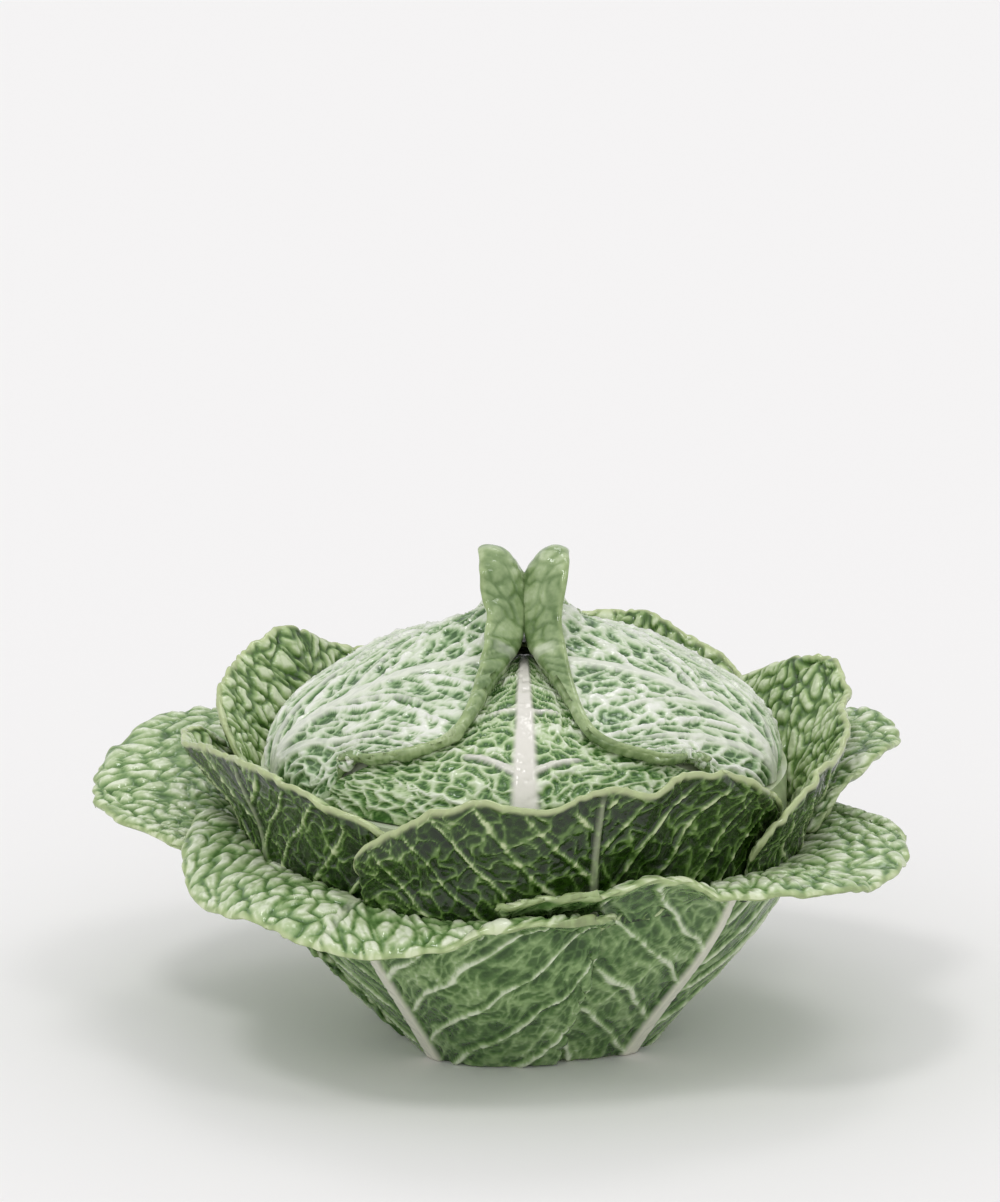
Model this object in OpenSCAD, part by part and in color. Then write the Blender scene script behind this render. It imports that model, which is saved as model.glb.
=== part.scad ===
// Soup tureen of glazed earthenware, built up as an open savoy cabbage with a lift-off lid.
// A plain bowl is thrown first. Four outer leaves climb its wall and spread, five collar
// leaves stand round its mouth, and four more leaves wrap the lid, where the two at the
// sides rise to the crest that the lid is lifted by.
// +Z is up, and the origin is the centre of the foot on the table. Bearings are degrees
// round the axis: 0 is the front (-Y), 90 is the right (+X).

/* [Bowl] */
// Outside radius of the foot ring
foot_r = 45; // [38:1:52]
// Width of the foot ring's standing face
foot_w = 9; // [6:0.5:12]
// Height of the hollow under the foot
foot_h = 3; // [2:0.5:5]
// Inside radius of the mouth
mouth_r = 107; // [90:1:124]
// Width of the flat land round the mouth, which the lid rests on
land_w = 12; // [11:0.5:15]
// Height of that land above the table
seat_h = 126; // [110:1:150]
// Depth of the upright rim below the land
rim_h = 28; // [24:1:34]
// Thickness of the bowl's wall
bowl_wall = 6; // [5:0.5:8]
// Thickness of the bowl's floor
floor_t = 6; // [5:0.5:9]

/* [Lid] */
// Height of the plain dome above the land
dome_h = 50; // [42:1:60]
// Height of the dome's upright edge
edge_h = 5; // [3:0.5:8]
// Thickness of the lid's wall
lid_wall = 5; // [4:0.5:7]
// How far the dome's edge overlaps the land
lid_lap = 4; // [3:0.5:5]
// Depth of the locating ring that hangs into the mouth
ring_h = 7; // [5:0.5:10]
// Thickness of the locating ring
ring_t = 4.4; // [3.5:0.1:6]
// Radial clearance of the locating ring in the mouth
ring_fit = 1.2; // [0.8:0.1:2]
// Height of the crest above the land
crest_h = 98; // [88:1:112]

/* [Leaves] */
// Thickness of the outer and collar leaves
leaf_t = 4; // [3:0.5:5]
// Thickness of the two leaves at the sides of the lid
side_t = 4; // [3:0.5:5]
// Thickness of the leaves at the front and back of the lid
tongue_t = 3.2; // [2.5:0.1:4]
// Clearance between a leaf and what it lies on
leaf_gap = 0.6; // [0.5:0.1:1]

/* [Hidden] */
$fn = 96;

wall_r = mouth_r + land_w;             // outside radius of the bowl's upright rim
bend_h = seat_h - rim_h;               // height where the wall turns upright
lid_r = mouth_r + lid_lap;             // outside radius of the dome
step = leaf_t + leaf_gap + 0.4;        // how far a leaf stands off where it laps its neighbour
foot_clear = 0.4;                      // the leaves' lower ends stay this far off the table
corner = 5;                            // how far the midribs push the leaves' roots outwards
root_r = foot_r + corner + leaf_gap;   // where the leaves start, beside the foot
leaf_green = "#5f8a45";
deep_green = "#4a6b33";
pale_green = "#a9bf8a";

// ---- curves ----

function lerp(a, b, f) = a + (b - a) * f;
function clamp01(f) = max(0, min(1, f));
function smooth(a, b, f) = let (c = clamp01((f - a) / (b - a))) c * c * (3 - 2 * c);

// Catmull-Rom curve through the points p, at f from 0 to 1
function curve(p, f) =
    let (n = len(p) - 1, i = min(floor(clamp01(f) * n), n - 1), u = clamp01(f) * n - i,
         a = i > 0 ? p[i - 1] : 2 * p[0] - p[1], b = p[i], c = p[i + 1],
         d = i < n - 1 ? p[i + 2] : 2 * p[n] - p[n - 1])
    0.5 * (2 * b + (c - a) * u + (2 * a - 5 * b + 4 * c - d) * u * u + (3 * b - a - 3 * c + d) * u * u * u);

function bezier(a, b, c, d, u) =
    let (v = 1 - u) v * v * v * a + 3 * v * v * u * b + 3 * v * u * u * c + u * u * u * d;

// Right-hand normal of a step in the plane of radius and height: outwards and down for a rising wall
function side_normal(p, q) = let (d = q - p, l = norm(d)) [d[1], -d[0]] / l;

function place(bearing, rz) = [rz[0] * sin(bearing), -rz[0] * cos(bearing), rz[1]];

// Line that the leaves follow up the bowl, f from 0 at the foot to 1 at the rim's bend
wall_shape = [[0, 0], [0.34, 0.28], [0.66, 0.55], [0.89, 0.8], [1, 1]];
function wall(f) =
    let (p = curve(wall_shape, f))
    [lerp(root_r, wall_r + leaf_gap, p[0]), lerp(foot_clear, bend_h, p[1])];

// Height of the dome at radius r, grown outwards by off
function dome_z(r, off) =
    seat_h + edge_h + (dome_h - edge_h + off) * sqrt(max(0, 1 - pow(r / (lid_r + off), 2)));

// ---- sheets ----

function flat_list(rows) = [for (row = rows) each row];

// Closed sheet between two grids of points: outer is the side seen from outside
module sheet(outer, inner) {
    rows = len(outer);
    cols = len(outer[0]);
    n = rows * cols;
    function at(i, j) = i * cols + j;
    faces = concat(
        [for (i = [0 : rows - 2], j = [0 : cols - 2]) each [
            [at(i, j), at(i + 1, j), at(i + 1, j + 1)],
            [at(i, j), at(i + 1, j + 1), at(i, j + 1)],
            [n + at(i, j), n + at(i + 1, j + 1), n + at(i + 1, j)],
            [n + at(i, j), n + at(i, j + 1), n + at(i + 1, j + 1)]]],
        [for (j = [0 : cols - 2]) each [
            [at(0, j), at(0, j + 1), n + at(0, j + 1)],
            [at(0, j), n + at(0, j + 1), n + at(0, j)],
            [at(rows - 1, j + 1), at(rows - 1, j), n + at(rows - 1, j)],
            [at(rows - 1, j + 1), n + at(rows - 1, j), n + at(rows - 1, j + 1)]]],
        [for (i = [0 : rows - 2]) each [
            [at(i + 1, 0), at(i, 0), n + at(i, 0)],
            [at(i + 1, 0), n + at(i, 0), n + at(i + 1, 0)],
            [at(i, cols - 1), at(i + 1, cols - 1), n + at(i + 1, cols - 1)],
            [at(i, cols - 1), n + at(i + 1, cols - 1), n + at(i, cols - 1)]]]);
    polyhedron(points = concat(flat_list(outer), flat_list(inner)), faces = faces);
}

// ---- leaves of the bowl ----

// A margin is a list of [bearing, reach beyond the rim, height above the land]
function margin_at(margin, t) =
    let (m = curve(margin, t)) [m[0], wall_r + m[1], seat_h + m[2]];

outer_cols = 15;
outer_wall_rows = 8;
outer_free_rows = 8;
outer_peel = 0.88;                     // share of the wall that an outer leaf clings to
outer_short = 22;                      // a free end no longer than this runs straight to its margin
outer_root = [-47, 55];                // bearings of an outer leaf's root, from its midrib
outer_start = [0.55, 0.83];            // direction in which an outer leaf's free part leaves the wall
outer_hold = 0.45;                     // share of the free length over which its tip keeps its droop

// Inner face of an outer leaf in radius and height: up the wall, then over to its margin
function outer_line(margin, lean, droop, t, s) =
    let (m = margin_at(margin, t), tip = [m[1], m[2]], p = wall(outer_peel), reach = norm(tip - p))
    s <= 0.5 ? wall(outer_peel * s * 2) :
    bezier(p, p + outer_start * reach * lean,
           tip + [-cos(droop), sin(droop)] * outer_hold * max(0, reach - outer_short), tip, s * 2 - 1);

function outer_point(midrib, margin, lean, droop, t, s, depth) =
    let (h = 0.01, p = outer_line(margin, lean, droop, t, s),
         n = side_normal(outer_line(margin, lean, droop, t, max(0, s - h)),
                         outer_line(margin, lean, droop, t, min(1, s + h))),
         lap = smooth(0.35, 0.75, t) * (1 - smooth(0.55, 1, s)), off = step * lap + depth,
         root = midrib + lerp(outer_root[0], outer_root[1], t),
         bearing = lerp(root, margin_at(margin, t)[0], smooth(0, 1, s)),
         push = corner * pow(1 - clamp01(p[1] / (bend_h / 2)), 1.5) * cos(4 * (bearing - midrib)))
    place(bearing, p + n * off + [push, s == 0 ? -n[1] * off : 0]);

module outer_leaf(midrib, margin, lean, droop) {
    t_list = [for (i = [0 : outer_cols - 1]) i / (outer_cols - 1)];
    s_list = concat([for (i = [0 : outer_wall_rows - 1]) i / outer_wall_rows / 2],
                    [for (i = [0 : outer_free_rows]) 0.5 + i / outer_free_rows / 2]);
    function face(depth) =
        [for (s = s_list) [for (t = t_list) outer_point(midrib, margin, lean, droop, t, s, depth)]];
    color(leaf_green) sheet(face(leaf_t), face(0));
}

collar_cols = 15;
collar_rows = 8;
collar_root_gap = 7;                   // the collar starts this far above the rim's bend
collar_start = [0.08, 1] * 0.4;        // how it leaves the rim, as shares of the way to its margin
collar_end = [0.5, 0.86] * 0.3;        // how it flares into its margin

// A collar leaf stands on the rim and flares: its line in radius and height
function collar_line(margin, t, s) =
    let (m = margin_at(margin, t), tip = [m[1], m[2]],
         p = [wall_r + leaf_gap, bend_h + collar_root_gap], reach = norm(tip - p))
    bezier(p, p + collar_start * reach, tip - collar_end * reach, tip, s);

function collar_point(margin, t, s, depth) =
    let (h = 0.01, p = collar_line(margin, t, s),
         n = side_normal(collar_line(margin, t, max(0, s - h)), collar_line(margin, t, min(1, s + h))),
         lap = (1 - smooth(0.25, 0.65, t)) * (1 - smooth(0.6, 1, s)), off = step * lap + depth)
    place(margin_at(margin, t)[0], p + n * off);

module collar_leaf(margin) {
    function face(depth) =
        [for (i = [0 : collar_rows]) [for (j = [0 : collar_cols - 1])
            collar_point(margin, j / (collar_cols - 1), i / collar_rows, depth)]];
    color(deep_green) sheet(face(leaf_t), face(0));
}

// ---- leaves of the lid ----

side_cols = 21;
side_rows = 11;
lapel_rows = 4;
side_spread = 41;                      // half of a side leaf's width in degrees, at the dome's edge
side_rise = 3.5;                       // how late a side leaf rises to the crest: higher is later
skirt = 2.5;                           // the lid's leaves end this far above the land
side_off = side_t + 2 * leaf_gap;      // height of a side leaf's outer face off the dome
tuck = tongue_t + leaf_gap;            // extra height where a side leaf lies over a tongue
seam = side_t + 0.5;                   // half the distance between the two side leaves' outer faces

// Left leaf's fold, where it turns from the dome into its lapel, from the front edge of the
// lid (first) to the crest (last): [x, y], and its height above the leaf's line over the dome
fold_shape = [[-78, -79], [-56, -90], [-30, -87], [-12, -52], [-seam, -24], [-seam, -11], [-seam, 0]];
fold_lift = [0, 0, 0, 0, 3, 16, 31];
// Its margin, as [x, y, height above the land]
margin_shape = [[-80, -77, 27], [-62, -84, 33], [-38, -83, 43], [-21, -56, 55],
                [-15, -27, 68], [-22, -13, crest_h - 13], [-17, 0, crest_h]];

function fold_at(v) =
    let (f = 1 - abs(v), p = curve(fold_shape, f), q = [p[0], v > 0 ? -p[1] : p[1]], r = norm(q))
    [q[0], q[1], dome_z(min(r, lid_r), side_off + tuck) + curve(fold_lift, f)];

function lapel_at(v) =
    let (p = curve(margin_shape, 1 - abs(v))) [p[0], v > 0 ? -p[1] : p[1], seat_h + p[2]];

// Outer face of the left leaf: v runs from the front of the lid (-1) to the back (1), and w from
// the skirt (below 0) and the dome's edge (0) to the fold (1) and on to the margin (2)
function side_point(v, w) =
    let (base = -90 - side_spread * v, r0 = lid_r + side_off, f = fold_at(v),
         edge = [r0 * sin(base), -r0 * cos(base)], u = clamp01(w), share = 1 - cos(90 * u),
         q = lerp(edge, [f[0], f[1]], share), r = norm(q),
         off = side_off + tuck * smooth(0.2, 0.6, share),
         lift = f[2] - dome_z(norm([f[0], f[1]]), side_off + tuck))
    w < 0 ? [edge[0], edge[1], seat_h + skirt] :
    w <= 1 ? [q[0], q[1], dome_z(r, off) + lift * pow(share, side_rise)] : lerp(f, lapel_at(v), w - 1);

function unit(a) = a / norm(a);
function side_normal3(v, w) =
    let (h = 0.02, x = max(0, w), a = side_point(min(1, v + h), x) - side_point(max(-1, v - h), x),
         b = side_point(v, min(2, x + h)) - side_point(v, max(-h, x - h)))
    unit(cross(a, b));

module side_leaf() {
    v_list = [for (i = [0 : side_cols - 1]) lerp(-1, 1, i / (side_cols - 1))];
    w_list = concat([-1], [for (i = [0 : side_rows - 1]) i / side_rows],
                    [for (i = [0 : lapel_rows]) 1 + i / lapel_rows]);
    outer = [for (w = w_list) [for (v = v_list) side_point(v, w)]];
    inner = [for (w = w_list) [for (v = v_list) side_point(v, w) + side_t * side_normal3(v, w)]];
    color(pale_green) sheet(inner, outer);       // v runs from right to left, seen from outside
}

tongue_cols = 15;
tongue_rows = 11;
// Half-width of the front and back leaves in degrees, from the lid's edge to the crest
tongue_half = [47, 36, 24, 20, 20];
tongue_end = 78;                       // how far up the dome they reach, in degrees of its profile

function tongue_point(s, t, off) =
    let (r = (lid_r + off) * cos(tongue_end * max(s, 0)), half = curve([for (a = tongue_half) [a, 0]], s)[0])
    place(t * half, [r, s < 0 ? seat_h + skirt : dome_z(r, off)]);

module tongue_leaf() {
    function face(off) =
        [for (i = [-1 : tongue_rows]) [for (j = [0 : tongue_cols - 1])
            tongue_point(i / tongue_rows, lerp(-1, 1, j / (tongue_cols - 1)), off)]];
    color(leaf_green) sheet(face(leaf_gap + tongue_t), face(leaf_gap));
}

// ---- sub-parts ----

wall_steps = 12;
module bowl() {
    outside = [for (i = [0 : wall_steps]) let (p = wall(i / wall_steps))
        [p[0] - leaf_gap - corner * pow(1 - clamp01(p[1] / (bend_h / 2)), 1.5), p[1]]];
    inside = [for (i = [wall_steps : -1 : 0]) let (p = outside[i])
        if (p[1] > foot_h + floor_t) [p[0] - bowl_wall, p[1]]];
    color(pale_green) rotate_extrude()
        polygon(concat(
            [[0, foot_h], [foot_r - foot_w, foot_h], [foot_r - foot_w, 0], [foot_r, 0]],
            [for (p = outside) if (p[1] > foot_clear) p],
            [[wall_r, seat_h], [mouth_r, seat_h], [mouth_r, seat_h - ring_h - lid_lap]],
            inside,
            [[foot_r - bowl_wall, foot_h + floor_t], [0, foot_h + floor_t]]));
}

dome_steps = 18;
function dome_line(off) =
    [for (i = [0 : dome_steps]) let (a = 90 * i / dome_steps)
        [(lid_r - off) * cos(a), seat_h + edge_h + (dome_h - edge_h - off) * sin(a)]];

module lid() {
    ring_r = mouth_r - ring_fit;
    color(pale_green) rotate_extrude()
        polygon(concat(
            [[ring_r - ring_t, seat_h - ring_h], [ring_r, seat_h - ring_h], [ring_r, seat_h], [lid_r, seat_h]],
            dome_line(0),
            [for (i = [dome_steps : -1 : 1]) dome_line(lid_wall)[i]],
            [[ring_r - ring_t, seat_h + edge_h]]));
}

module outer_leaf_front_left() outer_leaf(-40, [
    [-92, 30, -24], [-78, 40, -31], [-62, 47, -42], [-46, 45, -40], [-36, 42, -46], [-25, 36, -48],
    [-14, 32, -41], [-3, 27, -33], [8, 22, -30], [18, 14, -29]], 0.35, 35);

module outer_leaf_front_right() outer_leaf(50, [
    [-6, 14, -24], [9, 18, -19], [20, 24, -16], [29, 26, -14], [36, 38, -22], [45, 50, -23], [54, 58, -28],
    [63, 61, -33], [73, 62, -30], [83, 56, -28], [93, 44, -28], [103, 28, -28], [110, 14, -29]], 0.35, 12);

module outer_leaf_back_right() outer_leaf(140, [
    [87, 14, -26], [94, 27, -14], [102, 47, -6], [110, 67, -4], [119, 66, -2], [129, 59, -6], [140, 55, -14],
    [152, 54, -21], [164, 49, -27], [178, 38, -30], [190, 18, -31]], 0.25, 5);

module outer_leaf_back_left() outer_leaf(-130, [
    [-188, 14, -22], [-176, 32, -21], [-164, 50, -22], [-152, 62, -20], [-139, 70, -14], [-126, 80, -11],
    [-115, 88, -15], [-105, 89, -24], [-97, 73, -32], [-89, 46, -35], [-80, 24, -36]], 0.3, 12);

module collar_leaf_front() collar_leaf([
    [-34, 21, 2], [-24, 22, 10], [-16, 23, 20], [-8, 23, 26], [4, 22, 23], [14, 22, 31], [24, 21, 27],
    [31, 21, 34], [44, 20, 25], [54, 17, 13], [64, 12, 4]]);

module collar_leaf_right() collar_leaf([
    [52, 20, 4], [62, 21, 8], [72, 22, 13], [80, 23, 15], [88, 26, 19], [97, 26, 24], [105, 32, 26],
    [112, 33, 35], [119, 29, 31], [126, 24, 24], [133, 19, 17], [140, 14, 8]]);

module collar_leaf_back() collar_leaf([
    [128, 24, 8], [137, 28, 13], [144, 30, 21], [152, 30, 28], [160, 32, 34], [168, 32, 31], [176, 30, 33],
    [184, 26, 26], [190, 21, 22], [196, 16, 14]]);

module collar_leaf_back_left() collar_leaf([
    [-172, 27, 10], [-162, 29, 14], [-152, 30, 18], [-143, 31, 24], [-134, 31, 36], [-124, 31, 34],
    [-115, 29, 28], [-106, 25, 20], [-98, 19, 10]]);

module collar_leaf_left() collar_leaf([
    [-108, 28, 8], [-99, 34, 12], [-90, 34, 14], [-79, 25, 17], [-68, 21, 19], [-57, 19, 21], [-45, 17, 16],
    [-34, 14, 10], [-24, 11, 4]]);

module lid_leaf_left() side_leaf();
module lid_leaf_right() rotate([0, 0, 180]) side_leaf();
module lid_leaf_front() tongue_leaf();
module lid_leaf_back() rotate([0, 0, 180]) tongue_leaf();

bowl();
outer_leaf_front_left();
outer_leaf_front_right();
outer_leaf_back_right();
outer_leaf_back_left();
collar_leaf_front();
collar_leaf_right();
collar_leaf_back();
collar_leaf_back_left();
collar_leaf_left();
lid();
lid_leaf_left();
lid_leaf_right();
lid_leaf_front();
lid_leaf_back();
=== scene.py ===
# Soup tureen of glazed earthenware, modelled as an open savoy cabbage with a lift-off lid.
# Leaves are fine sheets with veins, bumps and rolled rims; the thrown bowl and lid come from the frame.
import math
import bpy
import numpy as np
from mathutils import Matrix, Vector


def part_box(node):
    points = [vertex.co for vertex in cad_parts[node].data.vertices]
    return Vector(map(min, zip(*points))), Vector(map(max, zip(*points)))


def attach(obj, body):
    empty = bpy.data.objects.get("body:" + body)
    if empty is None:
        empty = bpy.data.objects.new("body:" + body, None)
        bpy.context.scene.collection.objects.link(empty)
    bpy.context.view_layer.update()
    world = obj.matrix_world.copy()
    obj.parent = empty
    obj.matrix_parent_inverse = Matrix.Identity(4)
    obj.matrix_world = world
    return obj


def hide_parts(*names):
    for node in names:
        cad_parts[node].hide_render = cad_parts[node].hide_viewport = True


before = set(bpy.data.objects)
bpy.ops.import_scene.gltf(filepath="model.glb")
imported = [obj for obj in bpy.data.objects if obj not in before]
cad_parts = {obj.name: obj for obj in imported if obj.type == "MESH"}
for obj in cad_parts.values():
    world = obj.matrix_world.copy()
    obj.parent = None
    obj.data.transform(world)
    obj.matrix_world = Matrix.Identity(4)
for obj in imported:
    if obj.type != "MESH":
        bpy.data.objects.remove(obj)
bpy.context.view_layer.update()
mm = 0.001                                   # leaf shapes are worked out in millimetres

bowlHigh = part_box("bowl")[1]
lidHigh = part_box("lid")[1]
bowlSize = {
    "wallRadius": bowlHigh[0] / mm,          # upright rim of the bowl
    "seat": bowlHigh[2] / mm,                # land that the lid rests on
    "bend": bowlHigh[2] / mm - 28,           # where the wall turns upright
    "rootRadius": 50.6, "rootHeight": 0.4,   # where the leaves start, beside the foot
    "corner": 5,                             # midribs push the roots outwards by this much
    "shape": [[0, 0], [0.34, 0.28], [0.66, 0.55], [0.89, 0.8], [1, 1]],
    "gap": 0.6, "lap": 5,                    # off the wall, and over the neighbouring leaf
}
lidSize = {"radius": lidHigh[0] / mm, "top": lidHigh[2] / mm, "edge": 5, "skirt": 0.6}


def lerp(a, b, f):
    return a + (b - a) * f


def smooth(a, b, f):
    c = np.clip((f - a) / (b - a), 0, 1)
    return c * c * (3 - 2 * c)


def curve(points, f):                        # Catmull-Rom through the points, f from 0 to 1
    p = np.asarray(points, float)
    n = len(p) - 1
    f = np.clip(f, 0, 1) * n
    i = np.minimum(np.floor(f).astype(int), n - 1)
    u = (f - i)[..., None]
    q = np.vstack([2 * p[0] - p[1], p, 2 * p[-1] - p[-2]])
    a, b, c, d = q[i], q[i + 1], q[i + 2], q[i + 3]
    return 0.5 * (2 * b + (c - a) * u + (2 * a - 5 * b + 4 * c - d) * u**2 + (3 * b - a - 3 * c + d) * u**3)


def bezier(a, b, c, d, u):
    u = u[..., None]
    v = 1 - u
    return v**3 * a + 3 * v * v * u * b + 3 * v * u * u * c + u**3 * d


def chance(i, j, seed):                      # a fixed random number for each whole (i, j)
    return np.abs(np.modf(np.sin(i * 127.1 + j * 311.7 + seed * 74.7) * 43758.5453)[0])


def noise(x, y, seed):                       # smooth, from -1 to 1
    i, j = np.floor(x), np.floor(y)
    u, v = x - i, y - j
    u, v = u * u * (3 - 2 * u), v * v * (3 - 2 * v)
    low = lerp(chance(i, j, seed), chance(i + 1, j, seed), u)
    high = lerp(chance(i, j + 1, seed), chance(i + 1, j + 1, seed), u)
    return 2 * lerp(low, high, v) - 1


def cells(x, y, seed):                       # 0 on the border between two cells, 0.5 or so in their middles
    i, j = np.floor(x), np.floor(y)
    near, far = np.full(x.shape, 9.0), np.full(x.shape, 9.0)
    for di in (-1, 0, 1):
        for dj in (-1, 0, 1):
            a, b = i + di, j + dj
            d = np.hypot(x - a - 0.12 - 0.76 * chance(a, b, seed), y - b - 0.12 - 0.76 * chance(a, b, seed + 9))
            far = np.minimum(far, np.maximum(near, d))
            near = np.minimum(near, d)
    return far - near


def place(bearing, rz):                      # bearing 0 is the front, 90 the right
    a = np.radians(bearing)
    return np.stack([rz[..., 0] * np.sin(a), -rz[..., 0] * np.cos(a), rz[..., 1]], -1)


def sideNormal(p, q):                        # outwards and down from a line of radius and height
    d = q - p
    return np.stack([d[..., 1], -d[..., 0]], -1) / np.linalg.norm(d, axis=-1)[..., None]


def wallLine(f):                             # the bowl's outside, from the foot to the bend
    p = curve(bowlSize["shape"], f)
    return np.stack([lerp(bowlSize["rootRadius"], bowlSize["wallRadius"] + bowlSize["gap"], p[..., 0]),
                     lerp(bowlSize["rootHeight"], bowlSize["bend"], p[..., 1])], -1)


def domeHeight(r, off):
    k = np.clip(r / (lidSize["radius"] + off), 0, 1)
    base = bowlSize["seat"] + lidSize["edge"]
    return base + (lidSize["top"] - base + off) * np.sqrt(1 - k * k)


def steps(length, spacing, rimStart, rimEnd):    # from 0 to 1, with fine steps where a rim rolls over
    fine = np.array([0, 0.2, 0.6, 1.2]) / length
    body = np.linspace(2 / length * rimStart, 1 - 2 / length * rimEnd, int(length / spacing))
    return np.concatenate([fine if rimStart else [], body, 1 - fine[::-1] if rimEnd else []])


def colour(text):                            # sRGB hex to linear
    part = [int(text[i:i + 2], 16) / 255 for i in (1, 3, 5)]
    return tuple(c / 12.92 if c <= 0.04045 else ((c + 0.055) / 1.055) ** 2.4 for c in part) + (1,)


def addNode(tree, kind, settings=None, values=None, links=None):
    node = tree.nodes.new(kind)
    for key, value in (settings or {}).items():
        setattr(node, key, value)
    for key, value in (values or {}).items():
        node.inputs[key].default_value = value
    for key, source in (links or {}).items():
        tree.links.new(source, node.inputs[key])
    return node


def glazeRamp(tree, stops, depth):           # thin glaze is pale, pooled glaze is dark
    node = addNode(tree, "ShaderNodeValToRGB", links={0: depth})
    colours = node.color_ramp.elements
    for n, (at, text) in enumerate(stops):
        stop = colours[n] if n < 2 else colours.new(at)
        stop.position = at
        stop.color = colour(text)
    return node.outputs[0]


def mixed(tree, share, under, over):         # over is a socket, or a colour that is the same all over
    node = addNode(tree, "ShaderNodeMix", {"data_type": "RGBA"}, links={0: share, 6: under})
    if isinstance(over, tuple):
        node.inputs[7].default_value = over
    else:
        tree.links.new(over, node.inputs[7])
    return node.outputs[2]


def speckle(tree, where, size, detail, amount):      # soft noise about zero, with its size in millimetres
    noise = addNode(tree, "ShaderNodeTexNoise", values={"Scale": 1 / (size * mm), "Detail": detail},
                    links={"Vector": where})
    spread = {1: 0.3, 2: 0.7, 3: -amount, 4: amount}
    return addNode(tree, "ShaderNodeMapRange", values=spread, links={0: noise.outputs["Fac"]}).outputs[0]


# Lead glaze over white earthenware: glossy, almost colourless where it runs thin over ribs and rims,
# and dark where it pools in the hollows, so its depth decides the colour, along with painted shade at the lid leaves'
# bases
def leafGlaze(name, finish):
    material = bpy.data.materials.new(name)
    material.use_nodes = True
    tree = material.node_tree
    tree.nodes.clear()
    where = addNode(tree, "ShaderNodeTexCoord").outputs["Object"]

    def stored(label):
        return addNode(tree, "ShaderNodeAttribute", {"attribute_name": label}).outputs["Fac"]

    def added(first, second):
        return addNode(tree, "ShaderNodeMath", {"operation": "ADD"}, links={0: first, 1: second}).outputs[0]

    depth = added(stored("thin"), speckle(tree, where, 22, 4, finish["cloud"]))
    depth = added(depth, speckle(tree, where, 2.8, 3, finish["fleck"]))
    shade = mixed(tree, stored("inFace"), glazeRamp(tree, finish["outside"], depth),
                  glazeRamp(tree, finish["inside"], depth))
    shade = mixed(tree, stored("rib"), shade, colour(finish["rib"]))
    shade = mixed(tree, stored("rim"), shade, colour(finish["rim"]))
    ripple = addNode(tree, "ShaderNodeTexNoise", values={"Scale": 1 / (5 * mm), "Detail": 2}, links={"Vector": where})
    bump = addNode(tree, "ShaderNodeBump", values={"Strength": 0.6, "Distance": 0.7 * mm},
                   links={"Height": ripple.outputs["Fac"]})
    surface = addNode(tree, "ShaderNodeBsdfPrincipled", values={"Roughness": finish["roughness"], "IOR": 1.52},
                      links={"Base Color": shade, "Normal": bump.outputs[0]})
    addNode(tree, "ShaderNodeOutputMaterial", links={"Surface": surface.outputs[0]})
    return material


outerGlaze = leafGlaze("greenLeadGlazeOuterLeaf", {
    "outside": [(0, "#2a4a18"), (0.3, "#527439"), (0.6, "#8fab70"), (1, "#e0e9cd")],
    "inside": [(0, "#44652f"), (0.25, "#64874a"), (0.5, "#90ac70"), (0.8, "#bfcfa2"), (1, "#e6edd2")],
    "rim": "#bfcb93", "rib": "#e4e2d2", "cloud": 0.12, "fleck": 0.09, "roughness": 0.13})
collarGlaze = leafGlaze("greenLeadGlazeCollarLeaf", {
    "outside": [(0, "#0c2002"), (0.35, "#29450f"), (0.65, "#62803f"), (1, "#c3cf9f")],
    "inside": [(0, "#2c461b"), (0.35, "#5b7d3a"), (0.7, "#a3bb7d"), (1, "#dbe5c0")],
    "rim": "#c2cd98", "rib": "#c9d2ad", "cloud": 0.1, "fleck": 0.08, "roughness": 0.13})
lidGlaze = leafGlaze("creamAndGreenGlazeLidLeaf", {
    "outside": [(0, "#3f6330"), (0.3, "#86a671"), (0.6, "#ccd9b9"), (1, "#f0f1e6")],
    "inside": [(0, "#3f5a2c"), (0.35, "#6b8450"), (0.7, "#9aae7c"), (1, "#c8d4ae")],
    "rim": "#b9c98c", "rib": "#e6e8d9", "cloud": 0.12, "fleck": 0.08, "roughness": 0.12})
tongueGlaze = leafGlaze("greenGlazeFrontLeaf", {
    "outside": [(0, "#3f652e"), (0.3, "#759a58"), (0.65, "#bccf9f"), (1, "#e8eed8")],
    "inside": [(0, "#3f5a2c"), (0.35, "#6b8450"), (0.7, "#9aae7c"), (1, "#c8d4ae")],
    "rim": "#b9c988", "rib": "#e6e2d8", "cloud": 0.1, "fleck": 0.08, "roughness": 0.12})


# Pale thin glaze of the thrown bowl and lid, wiped off the standing ring, where the fired clay is bare and matt
def plainGlaze():
    material = bpy.data.materials.new("paleGlazeOnEarthenware")
    material.use_nodes = True
    tree = material.node_tree
    tree.nodes.clear()
    where = addNode(tree, "ShaderNodeTexCoord").outputs["Object"]
    height = addNode(tree, "ShaderNodeSeparateXYZ", links={0: where}).outputs[2]
    cloud = addNode(tree, "ShaderNodeTexNoise", values={"Scale": 1 / (30 * mm), "Detail": 5}, links={"Vector": where})
    glaze = glazeRamp(tree, [(0.3, "#c3cfa6"), (0.5, "#d3dcbb"), (0.7, "#e0e6cf")], cloud.outputs["Fac"])

    def overFoot(glazed, bare):              # glaze stops about a millimetre above the table
        edge = {1: 1.6 * mm, 2: 0.6 * mm, 3: glazed, 4: bare}
        return addNode(tree, "ShaderNodeMapRange", values=edge, links={0: height}).outputs[0]

    shade = mixed(tree, overFoot(0, 1), glaze, colour("#d9cbb2"))
    surface = addNode(tree, "ShaderNodeBsdfPrincipled", values={"IOR": 1.52},
                      links={"Base Color": shade, "Roughness": overFoot(0.14, 0.7)})
    addNode(tree, "ShaderNodeOutputMaterial", links={"Surface": surface.outputs[0]})
    return material


paleGlaze = plainGlaze()
for node in ("bowl", "lid"):
    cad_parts[node].data.materials.clear()
    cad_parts[node].data.materials.append(paleGlaze)
print("glazes ready")


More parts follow.
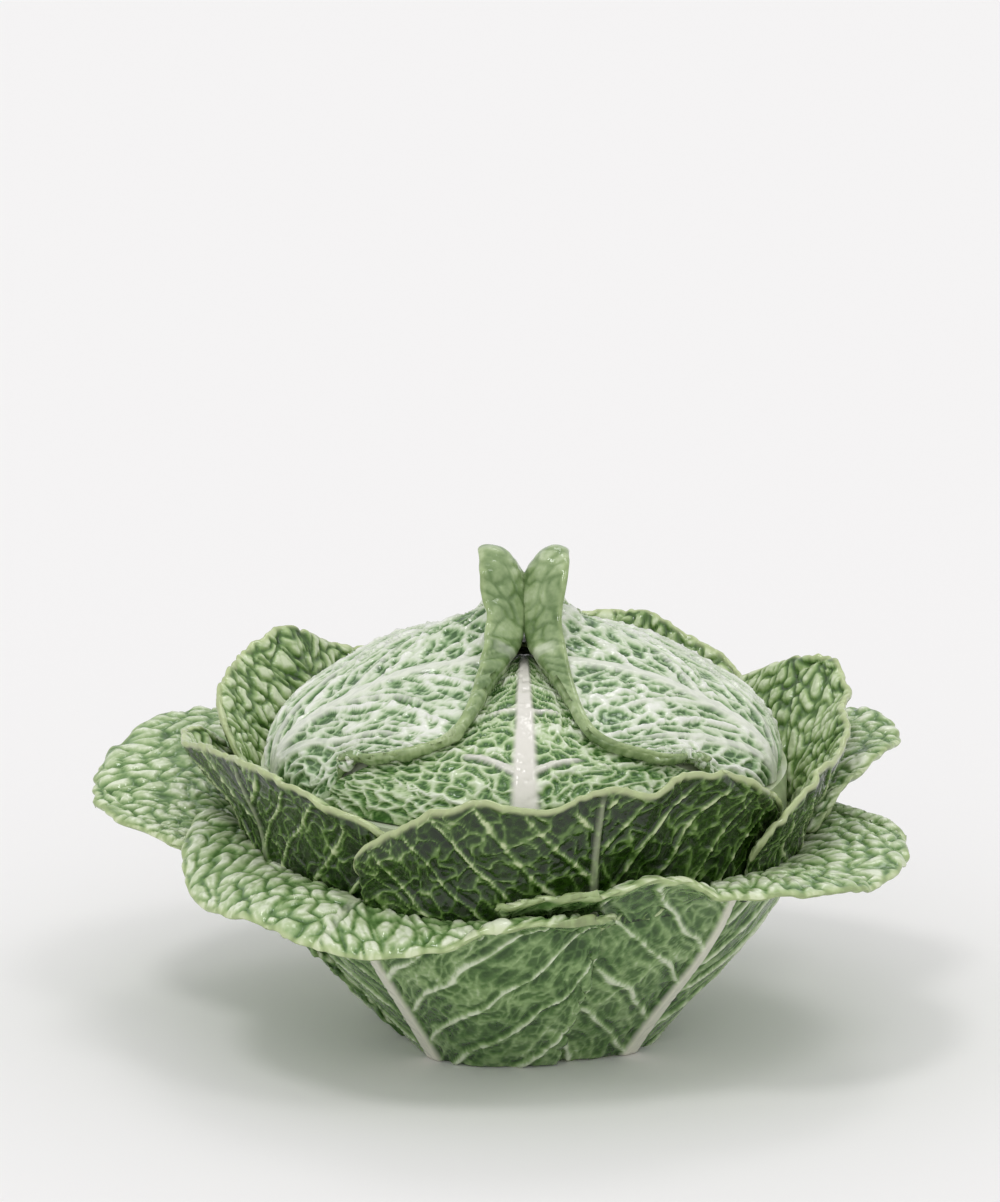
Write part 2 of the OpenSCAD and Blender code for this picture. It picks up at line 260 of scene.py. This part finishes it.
def normalsOf(grid):                         # a grid is rows of points on the middle surface of a leaf's sheet
    n = np.cross(np.gradient(grid, axis=1), np.gradient(grid, axis=0))
    n /= np.maximum(np.linalg.norm(n, axis=2), 1e-9)[..., None]
    middle = grid.shape[1] // 2
    outward = n[1, middle] @ (grid[1, middle] * [1, 1, 0])
    return n if outward > 0 else -n


def lengths(grid, axis):                     # distance along the surface from the first row or column
    d = np.linalg.norm(np.diff(grid, axis=axis), axis=2)
    start = np.zeros_like(d[:1] if axis == 0 else d[:, :1])
    return np.concatenate([start, np.cumsum(d, axis=axis)], axis)


def soften(grid, weight, times):             # rounds a fold that runs along the columns' way
    for _ in range(times):
        grid[1:-1] += weight[1:-1, None, None] * 0.5 * (grid[:-2] + grid[2:] - 2 * grid[1:-1])
    return grid


# What all leaves share; distances are in millimetres
sheetSize = {
    "sway": 3, "swayLength": (27, 23),       # how far veins stray, and how slowly
    "veinBend": 0.0012, "stagger": 0.4,      # side veins curve up, and don't meet at the midrib
    "warp": 0.45, "warpScale": 1.4,          # of the net's cells
    "finer": 2.3, "patch": 15,               # small cells within the net, and patches of thin glaze
    "held": 40,                              # keeps a free rim's look away from sides that lie on the wall
    "short": (12, 45),                       # columns this short stay plain
    "rimShare": 0.78, "bodyShare": 0.85,     # of the thickness, with the relief to come
    "round": 2.2, "least": 0.1,              # how the edges round off
    "roll": (3.6, 1.6, 0.4),                 # pale band on a free rim: its width, drift and full part
    "footRoll": (2.4, 1.2),
    "lowest": 0.3,                           # above the table
}


# Veins, net and bumps over a leaf, from the distances across and along it
def leafPattern(look, across, along, edge, seed):
    longer, shorter = sheetSize["swayLength"]
    sway = sheetSize["sway"] * noise(across / longer, along / longer, seed)
    x, y = across + sway, along + sheetSize["sway"] * noise(across / shorter, along / shorter, seed + 3)
    reach = np.abs(x)
    shift = look["spacing"] * sheetSize["stagger"] * (x > 0)
    q = (y - reach * look["slope"] + sheetSize["veinBend"] * reach**2 + shift) / look["spacing"]
    off = np.abs(q - np.round(q)) * look["spacing"] / math.hypot(1, look["slope"])

    inner, outer = look["ribWidth"]          # midrib, with a groove on both sides
    ribWide = lerp(inner, outer, np.clip(along / along.max(), 0, 1) ** 0.8)
    rib = smooth(1.45, 0.65, np.abs(across + 0.12 * sway) / ribWide)
    groove = np.exp(-((np.abs(across) / ribWide - 1.75) / 0.45) ** 2)
    vein = np.exp(-(off / lerp(look["veinWidth"], look["veinWidth"] * 0.55, smooth(0, 90, reach))) ** 2)
    vein *= smooth(0, 9, edge) * smooth(0.4, 1.3, reach / ribWide)
    groove = np.maximum(groove, np.exp(-((off / look["veinWidth"] - 2.1) / 0.6) ** 2) * smooth(2, 9, edge))
    for start, lean, length, wide in look["branches"]:
        far = np.abs(reach - lean * (y - start)) / math.hypot(1, lean)
        width = wide * lerp(1, 0.5, np.clip(reach / length, 0, 1))
        limb = smooth(1.3, 0.75, far / width) * smooth(length, length * 0.8, reach) * (y > start - 3)
        rib = np.maximum(rib, 0.85 * limb)
        groove = np.maximum(groove, np.exp(-((far / width - 1.8) / 0.5) ** 2) * (reach < length) * (y > start))
        vein *= 1 - smooth(3.5, 1.5, far / width) * (reach < length)

    turn = math.atan(look["slope"])          # the net's cells lie along the side veins
    a = (reach * math.cos(turn) + y * math.sin(turn)) / (look["cell"] * look["stretch"]) + 300 * (x < 0)
    b = (y * math.cos(turn) - reach * math.sin(turn)) / look["cell"]
    scale = sheetSize["warpScale"]
    warpA, warpB = [sheetSize["warp"] * noise(a * scale, b * scale, seed + k) for k in (5, 6)]
    net = cells(a + warpA, b + warpB, seed)
    fineNet = cells(a * sheetSize["finer"] + warpA, b * sheetSize["finer"] + warpB, seed + 20)
    a, b = a * look["cell"] * look["stretch"] / look["cellIn"][0], b * look["cell"] / look["cellIn"][1]
    dents = cells(a + warpA, b + warpB, seed + 30)
    patch = noise(x / sheetSize["patch"], y / sheetSize["patch"], seed + 7)
    return rib, vein, groove, net, fineNet, dents, patch


# Relief of the outer and inner faces in millimetres, and how thin the glaze runs over each, with painted shade near
# the base of the lid's leaves
def facesOf(look, across, along, edge, full, seed, lapel):
    rib, vein, groove, coarse, fine, dents, patch = leafPattern(look, across, along, edge, seed)
    calm = smooth(0.6, 4, edge) * smooth(0, 2.5, along) * full
    net, fineNet = 1 - smooth(0.02, look["netWidth"], coarse), 1 - smooth(0.02, 0.3, fine)
    bump, dimple = smooth(0.0, 0.5, dents) ** 0.8, smooth(0, 0.5, fine)
    raised = look["netHeight"] * (net - 0.4 + 0.25 * fineNet) + look["veinHeight"] * vein
    outRelief = calm * (raised * (1 - rib) - 0.35 * groove)
    outRelief += look["ribHeight"] * rib * smooth(0, 10, edge) * full
    inRelief = calm * (look["bumpHeight"] * (bump - 0.35) * (1 - 0.8 * vein) + 0.35 * dimple - 0.9 * vein
                       - 0.9 * np.exp(-(across / 2.2) ** 2))

    hollow = smooth(0.1, 0.45, coarse) * smooth(0.05, 0.4, fine)
    outThinAndShade = (look["outBase"] + look["netPale"] * net + 0.14 * fineNet + 0.6 * vein + 0.12 * patch
               - 0.16 * groove - look["pool"] * hollow)
    inThin = 0.1 + 0.7 * bump * (1 - 0.6 * vein) + 0.2 * dimple + 0.12 * patch - 0.1 * vein
    if lapel is not None:                    # upper parts of the lid's leaves carry less glaze
        outThinAndShade = outThinAndShade + 0.14 * lapel
        inThin = lerp(inThin, 0.42 + 0.24 * bump + 0.22 * patch, 0.85)
        inRelief = inRelief * 0.35
    # painted shade: the lid's leaves darken near their base, where the collar shades them
    outThinAndShade = outThinAndShade - look["paintedBaseShade"] * smooth(14, 0, along)
    pale = np.clip(rib * 1.15 - 0.12, 0, 1) * look["ribPale"] * smooth(1, 9, edge)
    return outRelief, inRelief, outThinAndShade, inThin, pale, patch


# Ripples of a leaf's rim
def ruffled(grid, look, across, along, edge, full, seed):
    run = (across + 0.8 * along) / look["ruffleLength"]
    wave = 0.4 * np.sin(2 * np.pi * run + 4 * noise(run, 0 * run, seed)) + 0.9 * noise(run * 1.7, 0 * run, seed + 1)
    wave += 0.5 * noise(run * 4.3, 0 * run, seed + 2)
    wave *= look["ruffle"] * smooth(look["ruffleReach"], 0, edge) * smooth(0, 30, along) * full
    return grid + normalsOf(grid) * wave[..., None]


# A closed sheet with as many vertices on each face as the grid has, laid flat
def flatSheet(name, rows, cols):
    bpy.ops.object.select_all(action="DESELECT")
    bpy.ops.mesh.primitive_grid_add(x_subdivisions=cols - 1, y_subdivisions=rows - 1, size=2)
    leaf = bpy.context.object
    leaf.name = leaf.data.name = name
    sheet = leaf.modifiers.new("sheet", "SOLIDIFY")
    sheet.thickness = 0.1
    sheet.offset = -1
    bpy.ops.object.modifier_apply(modifier="sheet")
    flat = np.empty(len(leaf.data.vertices) * 3)
    leaf.data.vertices.foreach_get("co", flat)
    flat = flat.reshape(-1, 3)
    col = np.rint((flat[:, 0] + 1) / 2 * (cols - 1)).astype(int)
    row = np.rint((flat[:, 1] + 1) / 2 * (rows - 1)).astype(int)
    return leaf, row, col, flat[:, 2] < -0.05    # the second face is the leaf's upper or inner one


def makeLeaf(name, grid, look, middle, seed, body, material, lapel=None):
    across, along = lengths(grid, 1), lengths(grid, 0)
    end, sides = along[-1:] - along, np.minimum(across - across[:, :1], across[:, -1:] - across)
    across = across - across[:, middle:middle + 1]
    edge = np.minimum(end, sides)
    held = sheetSize["held"] * (1 - smooth(look["free"][0], look["free"][1], along / along[-1:]))
    free = np.minimum(end, sides + held)
    full = smooth(*sheetSize["short"], along[-1:])
    grid = ruffled(grid, look, across, along, edge, full, seed)
    n = normalsOf(grid)

    outRelief, inRelief, outThinAndShade, inThin, pale, patch = facesOf(look, across, along, edge, full, seed, lapel)
    half = look["thick"] / 2 * lerp(sheetSize["rimShare"], sheetSize["bodyShare"], smooth(1, 9, free))
    rounding = np.sqrt(1 - np.clip(1 - edge / sheetSize["round"], 0, 1) ** 2)
    half = np.maximum(half * rounding, sheetSize["least"])
    width, drift, whole = sheetSize["roll"]
    rim = smooth(width + drift * patch, whole, free) * look["rimPale"]
    rim = np.maximum(rim, look["footPale"] * smooth(*sheetSize["footRoll"], along))

    leaf, row, col, inner = flatSheet(name.replace("_", "-"), *grid.shape[:2])
    at = row, col
    face = np.where(inner, -half[at] - inRelief[at], half[at] + outRelief[at])
    spot = grid[at] + n[at] * face[:, None]
    spot[:, 2] = np.maximum(spot[:, 2], sheetSize["lowest"])
    leaf.data.vertices.foreach_set("co", (spot * mm).ravel())
    # the outer face's thinness also carries the painted shade near the base of the lid's leaves
    values = {"thin": np.clip(np.where(inner, inThin[at], outThinAndShade[at]), 0, 1), "inFace": inner.astype(float),
              "rim": rim[at], "rib": np.where(inner, 0.35, 1) * pale[at]}
    for label, value in values.items():
        leaf.data.attributes.new(label, "FLOAT", "POINT").data.foreach_set("value", value.astype(np.float32))
    bpy.ops.object.mode_set(mode="EDIT")
    bpy.ops.mesh.select_all(action="SELECT")
    bpy.ops.mesh.normals_make_consistent(inside=False)
    bpy.ops.object.mode_set(mode="OBJECT")
    bpy.ops.object.shade_smooth()
    leaf.data.materials.append(material)
    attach(leaf, body)
    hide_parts(name)


# A margin is a list of [bearing, reach beyond the rim, height above the land]
outerLeaves = {
    "outer_leaf_front_left": {"midrib": -40, "lean": 0.35, "droop": 35, "margin": [
        [-92, 30, -24], [-78, 40, -31], [-62, 47, -42], [-46, 45, -40], [-36, 42, -46], [-25, 36, -48],
        [-14, 32, -41], [-3, 27, -33], [8, 22, -30], [18, 14, -29]]},
    "outer_leaf_front_right": {"midrib": 50, "lean": 0.35, "droop": 12, "margin": [
        [-6, 14, -24], [9, 18, -19], [20, 24, -16], [29, 26, -14], [36, 38, -22], [45, 50, -23], [54, 58, -28],
        [63, 61, -33], [73, 62, -30], [83, 56, -28], [93, 44, -28], [103, 28, -28], [110, 14, -29]]},
    "outer_leaf_back_right": {"midrib": 140, "lean": 0.25, "droop": 5, "margin": [
        [87, 14, -26], [94, 27, -14], [102, 47, -6], [110, 67, -4], [119, 66, -2], [129, 59, -6],
        [140, 55, -14], [152, 54, -21], [164, 49, -27], [178, 38, -30], [190, 18, -31]]},
    "outer_leaf_back_left": {"midrib": -130, "lean": 0.3, "droop": 12, "margin": [
        [-188, 14, -22], [-176, 32, -21], [-164, 50, -22], [-152, 62, -20], [-139, 70, -14], [-126, 80, -11],
        [-115, 88, -15], [-105, 89, -24], [-97, 73, -32], [-89, 46, -35], [-80, 24, -36]]},
}
outerLook = {
    "thick": 4, "root": [-47, 55], "peel": 0.88, "start": [0.55, 0.83], "hold": 0.45, "short": 22,
    "ribWidth": (4.6, 1.4), "ribHeight": 2.0, "ribPale": 0.95, "branches": [],
    "spacing": 24, "slope": 1.1, "veinWidth": 1.1, "veinHeight": 1.3,
    "cell": 8.6, "stretch": 2.6, "netWidth": 0.4, "netHeight": 0.5, "netPale": 0.2,
    "cellIn": (12, 9), "bumpHeight": 1.6,
    "outBase": 0.27, "pool": 0.16, "paintedBaseShade": 0, "footPale": 0.8, "rimPale": 0.5,
    "ruffle": 1.8, "ruffleLength": 29, "ruffleReach": 22, "free": (0.62, 0.8),
}


def marginAt(margin, t):
    return curve(margin, t) + [0, bowlSize["wallRadius"], bowlSize["seat"]]


def outerLine(leaf, t, s):
    look = outerLook
    tip = marginAt(leaf["margin"], t)[..., 1:]
    p = wallLine(np.full(s.shape, look["peel"]))
    reach = np.linalg.norm(tip - p, axis=-1)[..., None]
    droop = math.radians(leaf["droop"])
    hold = look["hold"] * np.maximum(0, reach - look["short"])
    free = bezier(p, p + np.array(look["start"]) * reach * leaf["lean"],
                  tip + np.array([-math.cos(droop), math.sin(droop)]) * hold, tip, np.clip(s * 2 - 1, 0, 1))
    return np.where((s <= 0.5)[..., None], wallLine(look["peel"] * np.minimum(s, 0.5) * 2), free)


def outerGrid(leaf, t, s, depth):
    t, s = np.meshgrid(t, s)
    s = trimmed(t, s, 0.07, 0.16, 0.008)
    p = outerLine(leaf, t, s)
    n = sideNormal(outerLine(leaf, t, np.maximum(0, s - 0.01)), outerLine(leaf, t, np.minimum(1, s + 0.01)))
    off = bowlSize["lap"] * smooth(0.35, 0.75, t) * (1 - smooth(0.55, 1, s)) + depth
    root = leaf["midrib"] + lerp(outerLook["root"][0], outerLook["root"][1], t)
    bearing = lerp(root, marginAt(leaf["margin"], t)[..., 0], smooth(0, 1, s))
    low = 1 - np.clip(p[..., 1] / (bowlSize["bend"] / 2), 0, 1)
    push = bowlSize["corner"] * low**1.5 * np.cos(np.radians(4 * (bearing - leaf["midrib"])))
    lift = np.where(s == 0, -n[..., 1] * off, 0)
    return place(bearing, p + n * off[..., None] + np.stack([push, lift], -1))


def trimmed(t, s, wide, cut, nick):          # a leaf's free corners are round, and its margin is nicked
    near = np.clip(np.minimum(t, 1 - t) / wide, 0, 1)
    scallop = nick * s**6 * (noise(t * 34, 0 * t, 3) + 0.6 * noise(t * 83, 0 * t, 4) - 0.8)
    return s * (1 - cut * (1 - np.sqrt(1 - (1 - near) ** 2)) + scallop)


def alongRows(s, at, width):                 # weight of a rounding at one place along the leaf
    return np.exp(-((s - at) / width) ** 2)


acrossSteps = steps(330, 1.16, True, True)
alongSteps = steps(170, 1.18, False, True)
middle = int(np.argmin(np.abs(acrossSteps - 47 / 102)))
for seed, (name, leaf) in enumerate(outerLeaves.items()):
    grid = outerGrid(leaf, acrossSteps, alongSteps, outerLook["thick"] / 2)
    grid = soften(grid, alongRows(alongSteps, 0.5, 0.05), 40)
    makeLeaf(name, grid, outerLook, middle, 11 + seed * 40, "bowl", outerGlaze)
print("outer leaves made")


collarLeaves = {
    "collar_leaf_front": [
        [-34, 21, 2], [-24, 22, 10], [-16, 23, 20], [-8, 23, 26], [4, 22, 23], [14, 22, 31], [24, 21, 27],
        [31, 21, 34], [44, 20, 25], [54, 17, 13], [64, 12, 4]],
    "collar_leaf_right": [
        [52, 20, 4], [62, 21, 8], [72, 22, 13], [80, 23, 15], [88, 26, 19], [97, 26, 24], [105, 32, 26],
        [112, 33, 35], [119, 29, 31], [126, 24, 24], [133, 19, 17], [140, 14, 8]],
    "collar_leaf_back": [
        [128, 24, 8], [137, 28, 13], [144, 30, 21], [152, 30, 28], [160, 32, 34], [168, 32, 31], [176, 30, 33],
        [184, 26, 26], [190, 21, 22], [196, 16, 14]],
    "collar_leaf_back_left": [
        [-172, 27, 10], [-162, 29, 14], [-152, 30, 18], [-143, 31, 24], [-134, 31, 36], [-124, 31, 34],
        [-115, 29, 28], [-106, 25, 20], [-98, 19, 10]],
    "collar_leaf_left": [
        [-108, 28, 8], [-99, 34, 12], [-90, 34, 14], [-79, 25, 17], [-68, 21, 19], [-57, 19, 21], [-45, 17, 16],
        [-34, 14, 10], [-24, 11, 4]],
}
collarLook = {
    "thick": 4, "rootShare": 0.84, "hidden": 0.2, "start": [0.032, 0.4], "end": [0.15, 0.258],
    "ribWidth": (2.2, 0.9), "ribHeight": 1.0, "ribPale": 0.4, "branches": [],
    "spacing": 24, "slope": 1.2, "veinWidth": 1.1, "veinHeight": 0.9,
    "cell": 9.5, "stretch": 1.35, "netWidth": 0.19, "netHeight": 0.6, "netPale": 0.4,
    "cellIn": (11, 7.5), "bumpHeight": 1.4,
    "outBase": 0.2, "pool": 0.16, "paintedBaseShade": 0, "footPale": 0, "rimPale": 0.8,
    "ruffle": 1.5, "ruffleLength": 24, "ruffleReach": 16, "free": (0.5, 0.7),
}


def collarLine(margin, t, s):
    look = collarLook
    tip = marginAt(margin, t)[..., 1:]
    p = np.array([bowlSize["wallRadius"] + bowlSize["gap"], bowlSize["bend"]])
    reach = np.linalg.norm(tip - p, axis=-1)[..., None]
    up = bezier(p, p + np.array(look["start"]) * reach, tip - np.array(look["end"]) * reach, tip,
                np.clip((s - look["hidden"]) / (1 - look["hidden"]), 0, 1))
    low = lerp(wallLine(np.full(s.shape, look["rootShare"])), p, np.clip(s / look["hidden"], 0, 1)[..., None])
    return np.where((s < look["hidden"])[..., None], low, up)


def collarGrid(margin, t, s, depth):
    t, s = np.meshgrid(t, s)
    s = trimmed(t, s, 0.16, 0.4, 0.014)
    n = sideNormal(collarLine(margin, t, np.maximum(0, s - 0.01)), collarLine(margin, t, np.minimum(1, s + 0.01)))
    off = bowlSize["lap"] * (1 - smooth(0.25, 0.65, t)) * (1 - smooth(0.6, 1, s)) + depth
    return place(marginAt(margin, t)[..., 0], collarLine(margin, t, s) + n * off[..., None])


acrossSteps = steps(210, 0.95, True, True)
alongSteps = steps(78, 0.9, False, True)
middle = int(np.argmin(np.abs(acrossSteps - 0.5)))
for seed, (name, margin) in enumerate(collarLeaves.items()):
    grid = collarGrid(margin, acrossSteps, alongSteps, collarLook["thick"] / 2)
    makeLeaf(name, grid, collarLook, middle, 200 + seed * 40, "bowl", collarGlaze)
print("collar leaves made")


# A side leaf climbs the dome to its fold, given as [x, y] and a lift, and turns back in a lapel to its margin
sideLook = {
    "thick": 4, "off": 5.2, "tuck": 3.8, "spread": 41, "rise": 3.0, "curl": 8,
    "fold": [[-78, -79], [-56, -90], [-30, -87], [-14, -52], [-3.4, -24], [-1.2, -11], [-1.4, 0]],
    "lift": [0, 0, 0, 1, 4, 15, 30],
    "lapel": [[-80, -77, 27], [-62, -84, 33], [-38, -83, 43], [-24, -57, 57], [-18, -27, 72], [-21, -13, 91],
              [-18, 0, 98]],
    "ribWidth": (4.2, 2.8), "ribHeight": 1.6, "ribPale": 0.85,
    "branches": [(4, 0.85, 62, 2.6), (48, 0.9, 34, 1.8)],    # start, lean, reach and half width, of each pair
    "spacing": 40, "slope": 1.1, "veinWidth": 1.5, "veinHeight": 1.2,
    "cell": 7.8, "stretch": 1.9, "netWidth": 0.44, "netHeight": 1.5, "netPale": 0.46,
    "cellIn": (11, 7), "bumpHeight": 0.9,
    "outBase": 0.26, "pool": 0.4, "paintedBaseShade": 0.24, "footPale": 0, "rimPale": 0.3,
    "ruffle": 1.4, "ruffleLength": 26, "ruffleReach": 14, "free": (0.5, 0.75),
}


def foldAt(v):
    f = 1 - np.abs(v)
    p = curve(sideLook["fold"], f)
    x, y = p[..., 0], np.where(v > 0, -p[..., 1], p[..., 1])
    r = np.minimum(np.hypot(x, y), lidSize["radius"])
    lift = curve([[a] for a in sideLook["lift"]], f)[..., 0]
    return np.stack([x, y, domeHeight(r, sideLook["off"] + sideLook["tuck"]) + lift], -1)


def lapelAt(v):
    p = curve(sideLook["lapel"], 1 - np.abs(v))
    tip = np.stack([p[..., 0], np.where(v > 0, -p[..., 1], p[..., 1]), bowlSize["seat"] + p[..., 2]], -1)
    return lerp(tip, foldAt(v) + [0, 0, 1.5], 0.9 * smooth(0.38, 0.74, np.abs(v))[..., None])


def sideGrid(v, w):
    v, w = np.meshgrid(v, w)
    base = np.radians(-90 - sideLook["spread"] * v)
    r0 = lidSize["radius"] + sideLook["off"]
    fold = foldAt(v)
    share = 1 - np.cos(np.clip(w, 0, 1) * np.pi / 2)
    x, y = lerp(r0 * np.sin(base), fold[..., 0], share), lerp(-r0 * np.cos(base), fold[..., 1], share)
    off = sideLook["off"] + sideLook["tuck"] * smooth(0.2, 0.6, share)
    lift = fold[..., 2] - domeHeight(np.hypot(fold[..., 0], fold[..., 1]), sideLook["off"] + sideLook["tuck"])
    z = domeHeight(np.hypot(x, y), off) + lift * share ** sideLook["rise"]
    z = lerp(z, bowlSize["seat"] + lidSize["skirt"], np.clip(-w, 0, 1))
    onDome = np.stack([x, y, z], -1)
    turned = np.clip(w - 1, 0, 1)
    lapel = lerp(fold, lapelAt(v), turned[..., None])
    lapel[..., 2] += sideLook["curl"] * np.sin(np.pi * turned) * np.exp(-(v / 0.2) ** 2)
    return np.where((w <= 1)[..., None], onDome, lapel)


vSteps = steps(300, 1.05, True, True) * 2 - 1
wSteps = np.concatenate([np.linspace(-1, 0, 6)[:-1], np.linspace(0, 1, 108)[:-1], 1 + steps(36, 1.0, False, True)])
grid = soften(sideGrid(vSteps, wSteps), alongRows(wSteps, 1, 0.05), 14)
grid = soften(grid.transpose(1, 0, 2).copy(), alongRows(vSteps, 0, 0.16), 150).transpose(1, 0, 2)
grid -= normalsOf(grid) * sideLook["thick"] / 2
upper = np.clip(np.repeat(wSteps[:, None], len(vSteps), 1) - 0.35, 0, 1)
for name, turn, seed in (("lid_leaf_left", 1, 500), ("lid_leaf_right", -1, 560)):
    middle = int(np.argmin(np.abs(vSteps + 0.4 * turn)))
    makeLeaf(name, grid * [turn, turn, 1], sideLook, middle, seed, "lid", lidGlaze, upper)

# The front and back leaves are tongues that lie on the dome, under the two side leaves
tongueLook = {
    "thick": 3.2, "half": [56, 40, 24, 20, 20], "end": 86,
    "ribWidth": (6.6, 0.9), "ribHeight": 1.8, "ribPale": 1.0,
    "branches": [(28, 2.3, 30, 2.2), (64, 1.6, 16, 1.4)],
    "spacing": 33, "slope": 0.5, "veinWidth": 1.9, "veinHeight": 1.3,
    "cell": 6.4, "stretch": 1.5, "netWidth": 0.4, "netHeight": 1.3, "netPale": 0.55,
    "cellIn": (11, 7), "bumpHeight": 1.0,
    "outBase": 0.26, "pool": 0.36, "paintedBaseShade": 0.18, "footPale": 0, "rimPale": 0.5,
    "ruffle": 0.0, "ruffleLength": 26, "ruffleReach": 10, "free": (0.9, 1),
}


def tongueGrid(t, s, off):
    t, s = np.meshgrid(t, s)
    r = (lidSize["radius"] + off) * np.cos(np.radians(tongueLook["end"] * np.maximum(s, 0)))
    half = curve([[a] for a in tongueLook["half"]], s)[..., 0]
    z = lerp(domeHeight(r, off), bowlSize["seat"] + lidSize["skirt"], np.clip(-s, 0, 1))
    return place(t * half, np.stack([r, z], -1))


tSteps = np.linspace(-1, 1, 180)
sSteps = np.concatenate([np.linspace(-1, 0, 6)[:-1], np.linspace(0, 1, 140)])
grid = tongueGrid(tSteps, sSteps, bowlSize["gap"] + tongueLook["thick"] / 2)
for name, turn, seed in (("lid_leaf_front", 1, 620), ("lid_leaf_back", -1, 680)):
    makeLeaf(name, grid * [turn, turn, 1], tongueLook, 90, seed, "lid", tongueGlaze)
print("lid leaves made")


# Matt pale card: plain, without a horizon
def makeFloor():
    bpy.ops.object.select_all(action="DESELECT")
    bpy.ops.mesh.primitive_plane_add(size=16, location=(0, 0, 0))
    floor = bpy.context.object
    floor.name = "floor"
    card = bpy.data.materials.new("paleCard")
    card.use_nodes = True
    surface = card.node_tree.nodes["Principled BSDF"]
    surface.inputs["Base Color"].default_value = colour("#f4f2f0")
    surface.inputs["Roughness"].default_value = 0.9
    surface.inputs["Specular IOR Level"].default_value = 0.1
    floor.data.materials.append(card)


# Large soft boxes far off, so that the floor is lit evenly: degrees round from the front and up, and across
def softBox(name, bearing, height, strength, width):
    lamp = bpy.data.lights.new(name, "SUN")
    lamp.energy = strength
    lamp.angle = math.radians(width)
    box = bpy.data.objects.new(name, lamp)
    bpy.context.collection.objects.link(box)
    box.rotation_euler = (math.radians(90 - height), 0, math.radians(bearing))


makeFloor()
softBox("keyLight", -40, 66, 0.4, 12)
softBox("fillLight", 50, 62, 0.22, 15)
softBox("backLight", 165, 60, 0.2, 16)
softBox("frontLight", -8, 30, 0.25, 50)
room = bpy.data.worlds.new("room")
room.use_nodes = True
room.node_tree.nodes["Background"].inputs["Color"].default_value = colour("#f9fafd")
room.node_tree.nodes["Background"].inputs["Strength"].default_value = 0.78
bpy.context.scene.world = room
bpy.context.scene.view_settings.view_transform = "Standard"

camera = bpy.data.objects.new("camera", bpy.data.cameras.new("camera"))
bpy.context.collection.objects.link(camera)
camera.location = (0, -3.8252, 1.2695)
camera.rotation_euler = (math.radians(74.40), 0, math.radians(0.162))
camera.data.sensor_fit = "HORIZONTAL"
camera.data.sensor_width = 36
camera.data.lens = 317.6
camera.data.clip_end = 30
bpy.context.scene.camera = camera

print("scene ready")
